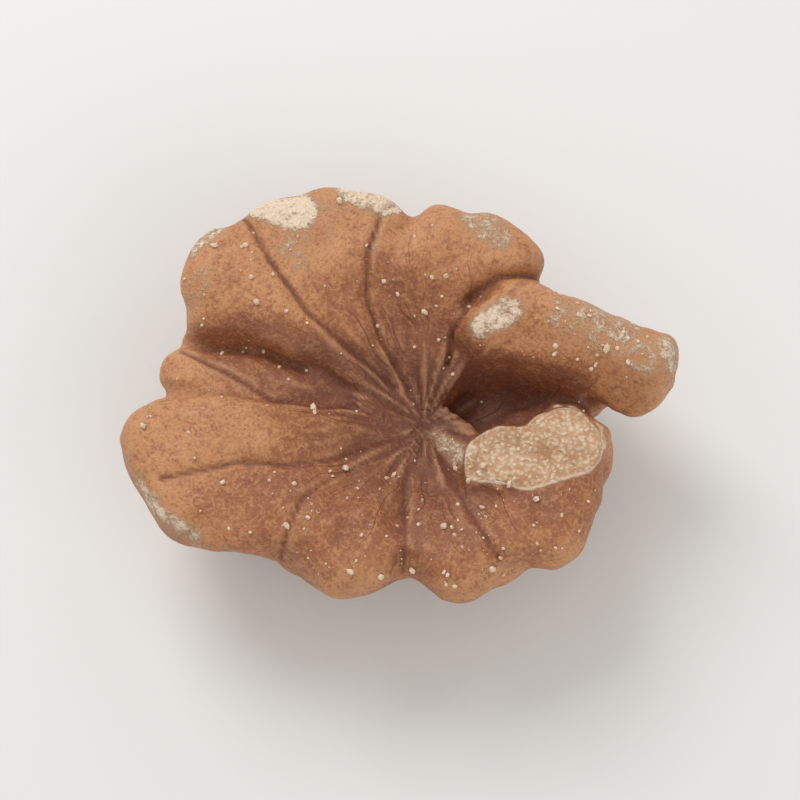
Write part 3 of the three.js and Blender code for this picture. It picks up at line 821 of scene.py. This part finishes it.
class SkinColours(bpy.types.PropertyGroup):
    # hub, hub_rim, face, lobe and rim are the skin's colour under steps of painted shade, from the deep hub
    # out to the rim
    hub: colour_setting("Hub", "Skin at the middle of the inner face", (0.15, 0.055, 0.036))
    hub_rim: colour_setting("Around the hub", "Skin a little way out from the hub", (0.225, 0.08, 0.043))
    face: colour_setting("Face", "Skin half way out to the rim", (0.31, 0.113, 0.048))
    lobe: colour_setting("Lobes", "Skin on the backs of the lobes", (0.4, 0.154, 0.062))
    rim: colour_setting("Rim", "Skin at the rim", (0.55, 0.255, 0.115))
    ridge: colour_setting("Ridges", "Skin stretched thin over ridges", (0.63, 0.335, 0.165))
    golden: colour_setting("Golden mottle", "Lighter mottling", (0.6, 0.31, 0.14))
    umber: colour_setting("Umber mottle", "Darker mottling", (0.22, 0.075, 0.032))
    # The vein colour also paints the shade in the hollows
    vein_and_shade: colour_setting("Veins", "Veins and hollows", (0.125, 0.035, 0.018))
    # Colour of the painted shade in the creases
    crease_shade: colour_setting("Creases", "Bottom of the creases between lobes", (0.13, 0.036, 0.02))
    flesh: colour_setting("Flesh", "Broken flesh", (0.66, 0.43, 0.265))
    flesh_pale: colour_setting("Pale flesh", "Granules of the broken flesh", (0.88, 0.73, 0.56))
    flesh_gap: colour_setting("Flesh gaps", "Between the granules", (0.44, 0.22, 0.105))


class StageSettings(bpy.types.PropertyGroup):
    floor_colour: colour_setting("Floor", "Colour of the floor", (0.8, 0.79, 0.775))
    lens: FloatProperty(name="Lens", description="Focal length", default=90, min=10,
                        subtype="DISTANCE_CAMERA")
    elevation: FloatProperty(name="Elevation", description="Height of the camera above the level",
                             default=math.radians(75), subtype="ANGLE", unit="ROTATION")
    share: FloatProperty(name="Share of the view",
                         description="Share of the view's width that the kernel takes",
                         default=0.68, min=0.1, max=1, subtype="FACTOR")
    key_power: FloatProperty(name="Key light", description="Power of the main light", default=0.42,
                             min=0, unit="POWER")
    fill_power: FloatProperty(name="Fill light", description="Power of the weaker light", default=0.17,
                              min=0, unit="POWER")
    sky: FloatProperty(name="Sky", description="Strength of the light from all round", default=0.62, min=0)


class WALNUT_OT_add_kernel(bpy.types.Operator):
    """Builds the kernel half in the place of its CAD node"""
    bl_idname = "walnut.add_kernel"
    bl_label = "Kernel half"

    def execute(self, context):
        settings = context.scene.walnut_kernel
        points, quads = meshed(settings.mesh_step / MM)
        points = relief(points, quads, settings)
        masks = skin_masks(points, quads)
        piece = new_piece(PIECE, fitted(points), quads)
        for name, values in masks.items():
            layer = piece.data.attributes.new(name, "FLOAT", "POINT")
            layer.data.foreach_set("value", np.clip(values, 0, 1).astype(np.float32))
        piece.data.materials.append(kernel_skin(context.scene.walnut_colours))
        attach(piece, "root")
        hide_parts(NODE)
        return {"FINISHED"}


class WALNUT_OT_add_crumbs(bpy.types.Operator):
    """Scatters crumbs of flesh over the inner face"""
    bl_idname = "walnut.add_crumbs"
    bl_label = "Flesh crumbs"

    def execute(self, context):
        settings = context.scene.walnut_kernel
        skin = bpy.data.objects[PIECE].data
        points, faces = scattered_crumbs(skin, settings.crumb_count, settings.crumb_size)
        piece = new_piece(CRUMBS, points, faces, smooth=False)
        piece.data.materials.append(crumb_flesh(context.scene.walnut_colours))
        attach(piece, "root")
        return {"FINISHED"}


class WALNUT_OT_add_stage(bpy.types.Operator):
    """Adds the floor, the soft lights and the camera"""
    bl_idname = "walnut.add_stage"
    bl_label = "Floor, lights and camera"

    def execute(self, context):
        settings = context.scene.walnut_stage
        add_floor(settings.floor_colour)
        add_sky(settings.sky)
        middle = (CAD_LOW + CAD_HIGH) / 2
        add_light("key", middle, (-0.1, 0.17, 0.2), 0.14, settings.key_power)
        add_light("fill", middle, (0.18, -0.16, 0.14), 0.22, settings.fill_power)
        add_camera(middle, settings)
        return {"FINISHED"}


class WALNUT_PT_panel(bpy.types.Panel):
    """Lists the pieces in the sidebar"""
    bl_idname = "WALNUT_PT_panel"
    bl_label = "Walnut kernel half"
    bl_space_type = "VIEW_3D"
    bl_region_type = "UI"
    bl_category = "Walnut"

    def draw(self, context):
        for operator in OPERATORS:
            self.layout.operator(operator.bl_idname)
        scene = context.scene
        for settings in (scene.walnut_kernel, scene.walnut_colours, scene.walnut_stage):
            column = self.layout.column()
            for name in settings.__annotations__:
                column.prop(settings, name)


OPERATORS = (WALNUT_OT_add_kernel, WALNUT_OT_add_crumbs, WALNUT_OT_add_stage)
CLASSES = (KernelSettings, SkinColours, StageSettings, *OPERATORS, WALNUT_PT_panel)


def scattered_crumbs(skin, count, size):
    """Points and triangles of loose crumbs that sit in the skin, more of them where they collect."""
    chance = np.random.default_rng(7)
    places = np.zeros(len(skin.vertices) * 3)
    normals = np.zeros(len(skin.vertices) * 3)
    skin.vertices.foreach_get("co", places)
    skin.vertices.foreach_get("normal", normals)
    places, normals = places.reshape(-1, 3), normals.reshape(-1, 3)
    collects = smooth_step(0.3, 0.8, normals[:, 2]) * (places[:, 2] > 5 * MM)
    gathered = np.full(len(places), 0.25)
    for weight, x, y, radius in CRUMB_SPOTS:
        near = np.hypot(places[:, 0] / MM - x, places[:, 1] / MM - y) / radius
        gathered = gathered + weight * np.exp(-near * near)
    weights = collects * gathered
    chosen = chance.choice(len(places), count, replace=False, p=weights / weights.sum())
    ball = bmesh.new()
    bmesh.ops.create_icosphere(ball, subdivisions=1, radius=1)
    unit = np.array([vertex.co for vertex in ball.verts])
    triangles = np.array([[vertex.index for vertex in face.verts] for face in ball.faces])
    ball.free()
    points, faces = [], []
    for number, at in enumerate(chosen):
        radius = size * min(np.exp(0.55 * chance.normal()), 2.6)
        sides = np.linalg.qr(chance.normal(size=(3, 3)))[0]
        past_sides = np.abs(unit @ sides.T) / chance.uniform(0.6, 0.9, 3)
        chipped = unit / np.maximum(past_sides, 1).max(axis=1)[:, None]
        lumpy = chipped * (1 + 0.25 * layered_noise(unit + 5 * number, 0.7, 131, 2))[:, None]
        turned = lumpy * chance.uniform(0.7, 1.3, 3) @ np.linalg.qr(chance.normal(size=(3, 3)))[0]
        points.append(places[at] + normals[at] * 0.25 * radius + turned * radius)
        faces.append(triangles + number * len(unit))
    return np.concatenate(points), np.concatenate(faces)


def add_floor(colour):
    plane = bmesh.new()
    bmesh.ops.create_grid(plane, x_segments=8, y_segments=8, size=1.5)
    mesh = bpy.data.meshes.new("floor")
    plane.to_mesh(mesh)
    plane.free()
    mesh.transform(Matrix.Translation((0, 0, CAD_LOW.z)))
    mesh.materials.append(matt_floor(colour))
    floor = bpy.data.objects.new("floor", mesh)
    bpy.context.scene.collection.objects.link(floor)


def add_sky(strength):
    world = bpy.data.worlds.new("sky")
    world.use_nodes = True
    world.node_tree.nodes["Background"].inputs["Color"].default_value = (1, 0.985, 0.965, 1)
    world.node_tree.nodes["Background"].inputs["Strength"].default_value = strength
    bpy.context.scene.world = world


def aim(thing, middle):
    thing.rotation_euler = (middle - thing.location).to_track_quat("-Z", "Y").to_euler()


def add_light(name, middle, offset, size, power):
    light = bpy.data.lights.new(name, "AREA")
    light.size = size
    light.energy = power
    lamp = bpy.data.objects.new(name, light)
    lamp.location = middle + Vector(offset)
    aim(lamp, middle)
    bpy.context.scene.collection.objects.link(lamp)


def add_camera(middle, settings):
    """Looks down on the inner face from the side of the lower wing."""
    data = bpy.data.cameras.new("camera")
    data.lens = settings.lens
    data.clip_start, data.clip_end = 5 * MM, 20
    camera = bpy.data.objects.new("camera", data)
    width = (CAD_HIGH.x - CAD_LOW.x) / settings.share
    back = Vector((0, -math.cos(settings.elevation), math.sin(settings.elevation)))
    camera.location = middle + back * width * data.lens / data.sensor_width
    aim(camera, middle)
    bpy.context.scene.collection.objects.link(camera)
    bpy.context.scene.camera = camera
    bpy.context.scene.view_settings.view_transform = "Standard"


def register():
    for each in CLASSES:
        bpy.utils.register_class(each)
    bpy.types.Scene.walnut_kernel = PointerProperty(type=KernelSettings)
    bpy.types.Scene.walnut_colours = PointerProperty(type=SkinColours)
    bpy.types.Scene.walnut_stage = PointerProperty(type=StageSettings)


def unregister():
    for name in ("walnut_kernel", "walnut_colours", "walnut_stage"):
        delattr(bpy.types.Scene, name)
    for each in reversed(CLASSES):
        bpy.utils.unregister_class(each)


def main():
    register()
    bpy.ops.walnut.add_kernel()
    bpy.ops.walnut.add_crumbs()
    bpy.ops.walnut.add_stage()
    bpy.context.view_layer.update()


if __name__ == "__main__":
    main()
